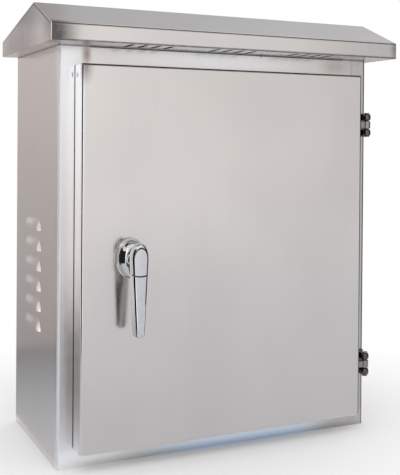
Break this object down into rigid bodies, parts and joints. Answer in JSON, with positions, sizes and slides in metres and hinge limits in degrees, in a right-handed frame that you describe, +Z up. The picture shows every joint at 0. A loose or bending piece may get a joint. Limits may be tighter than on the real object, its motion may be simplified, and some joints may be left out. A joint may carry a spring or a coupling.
{
  "type": "outdoor electrical cabinet",
  "caption": "Stainless wall cabinet with a gabled rain hood, soffit vents, side louvres, an overlay door on pin hinges and a swing handle lock with a key cover.",
  "frame": {"origin": "centre of the box's underside", "axes": "+X to the right seen from the front, +Y to the back, +Z up"},
  "size_m": [0.439, 0.2656, 0.5174],
  "materials": {
    "satin_stainless": "fine brushed stainless sheet, satin",
    "zinc_plate": "zinc plated steel",
    "black_rubber": "matt black rubber",
    "brass": "plain brass",
    "lock_chrome": "polished chrome on a zinc casting",
    "hinge_dark_chrome": "dark polished plating",
    "hinge_satin": "satin steel"
  },
  "bodies": {
    "cabinet": {"left_side": "satin_stainless", "right_side": "satin_stainless", "back_panel": "satin_stainless", "top_panel": "satin_stainless", "bottom_panel": "satin_stainless", "roof_sheet": "satin_stainless", "roof_end_left": "satin_stainless", "roof_end_right": "satin_stainless", "roof_floor": "satin_stainless", "roof_bolts": "zinc_plate", "roof_nuts": "zinc_plate", "gland_plate": "zinc_plate", "gland_screws": "zinc_plate", "mounting_plate": "zinc_plate", "mounting_studs": "zinc_plate", "mounting_nuts": "zinc_plate", "hinge_frame_nuts": "zinc_plate", "gland_gasket": "black_rubber", "cable_grommet_left": "black_rubber", "cable_grommet_middle": "black_rubber", "cable_grommet_right": "black_rubber", "earth_stud": "brass", "earth_nut": "brass", "hinge_frame_half_upper": "hinge_dark_chrome", "hinge_frame_half_lower": "hinge_dark_chrome", "hinge_pin_upper": "hinge_satin", "hinge_pin_lower": "hinge_satin"},
    "door": {"door_panel": "satin_stainless", "door_gasket": "black_rubber", "hinge_door_half_upper": "hinge_satin", "hinge_door_half_lower": "hinge_satin", "hinge_door_screws": "zinc_plate", "hinge_door_nuts": "zinc_plate", "door_earth_stud": "brass", "door_earth_nut": "brass", "lock_seal": "black_rubber", "lock_base": "lock_chrome", "lock_nut": "zinc_plate"},
    "handle": {"handle_lever": "lock_chrome", "cover_pin": "lock_chrome", "lock_spindle": "zinc_plate", "lock_cam": "zinc_plate", "cam_washer": "zinc_plate", "cam_screw": "zinc_plate"},
    "key_cover": {"key_cover": "lock_chrome"},
    "key_plug": {"key_plug": "brass"}
  },
  "joints": [
    {"name": "door_swing", "type": "hinge", "parent": "cabinet", "child": "door", "pos_m": [0.191, -0.1185, 0.23375], "axis": [0, 0, 1], "range_deg": [0, 170]},
    {"name": "handle_turn", "type": "hinge", "parent": "door", "child": "handle", "pos_m": [-0.127, -0.128, 0.23375], "axis": [0, -1, 0], "range_deg": [0, 90]},
    {"name": "key_cover_swing", "type": "hinge", "parent": "handle", "child": "key_cover", "pos_m": [-0.127, -0.128, 0.24275], "axis": [0, -1, 0], "range_deg": [0, 110]},
    {"name": "key_plug_turn", "type": "hinge", "parent": "handle", "child": "key_plug", "pos_m": [-0.127, -0.128, 0.23375], "axis": [0, -1, 0], "range_deg": [0, 90]}
  ]
}
